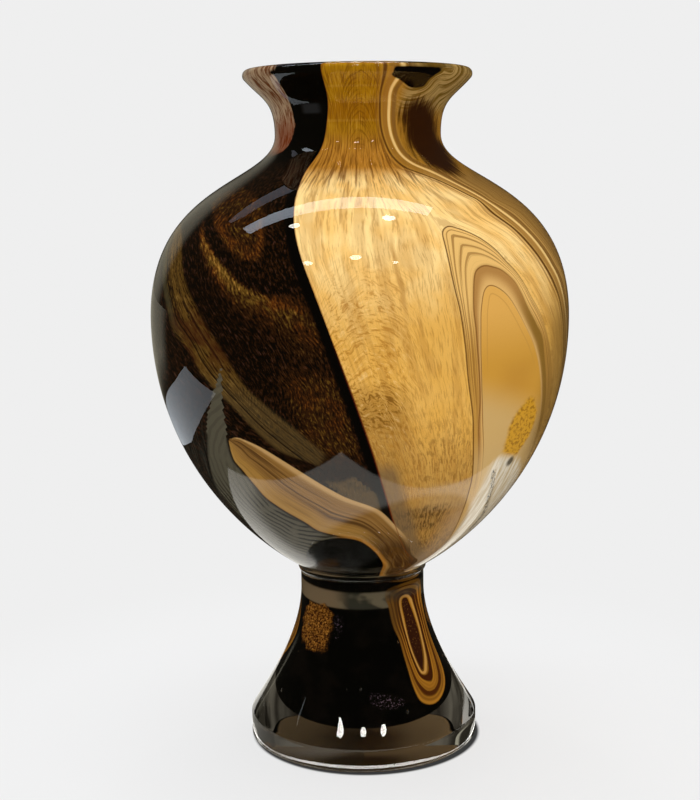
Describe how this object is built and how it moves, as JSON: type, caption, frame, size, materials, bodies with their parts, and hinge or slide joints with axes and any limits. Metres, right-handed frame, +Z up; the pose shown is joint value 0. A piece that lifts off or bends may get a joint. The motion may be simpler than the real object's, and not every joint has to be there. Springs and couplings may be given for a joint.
{
  "type": "art glass vase",
  "caption": "Footed art glass vase: shouldered bowl with a flared lip, marbled dark and ochre glass cased in clear, on a bell foot of thick clear glass.",
  "frame": {"origin": "centre of the flat base, on the surface that the vase stands on", "axes": "+Z up along the vase's turning axis, -Y towards the side with the broad ochre field, +X to the right of it"},
  "size_m": [0.2028, 0.2028, 0.33],
  "materials": {
    "clear_glass": "fire-polished clear glass",
    "ring_glass": "fire-polished clear glass",
    "dark_glass": "opaque near-black brown glass with gold and bronze speckle",
    "ochre_glass": "opaque ochre glass with fine brown streaks like wood grain",
    "core_glass": "opaque near-black glass with amber streaks"
  },
  "bodies": {
    "root": {"clear_foot": "clear_glass", "marbled_foot_core": "core_glass", "waist_ring": "ring_glass", "clear_lining": "clear_glass", "dark_glass_field": "dark_glass", "ochre_glass_field": "ochre_glass", "clear_casing": "clear_glass"}
  },
  "joints": []
}
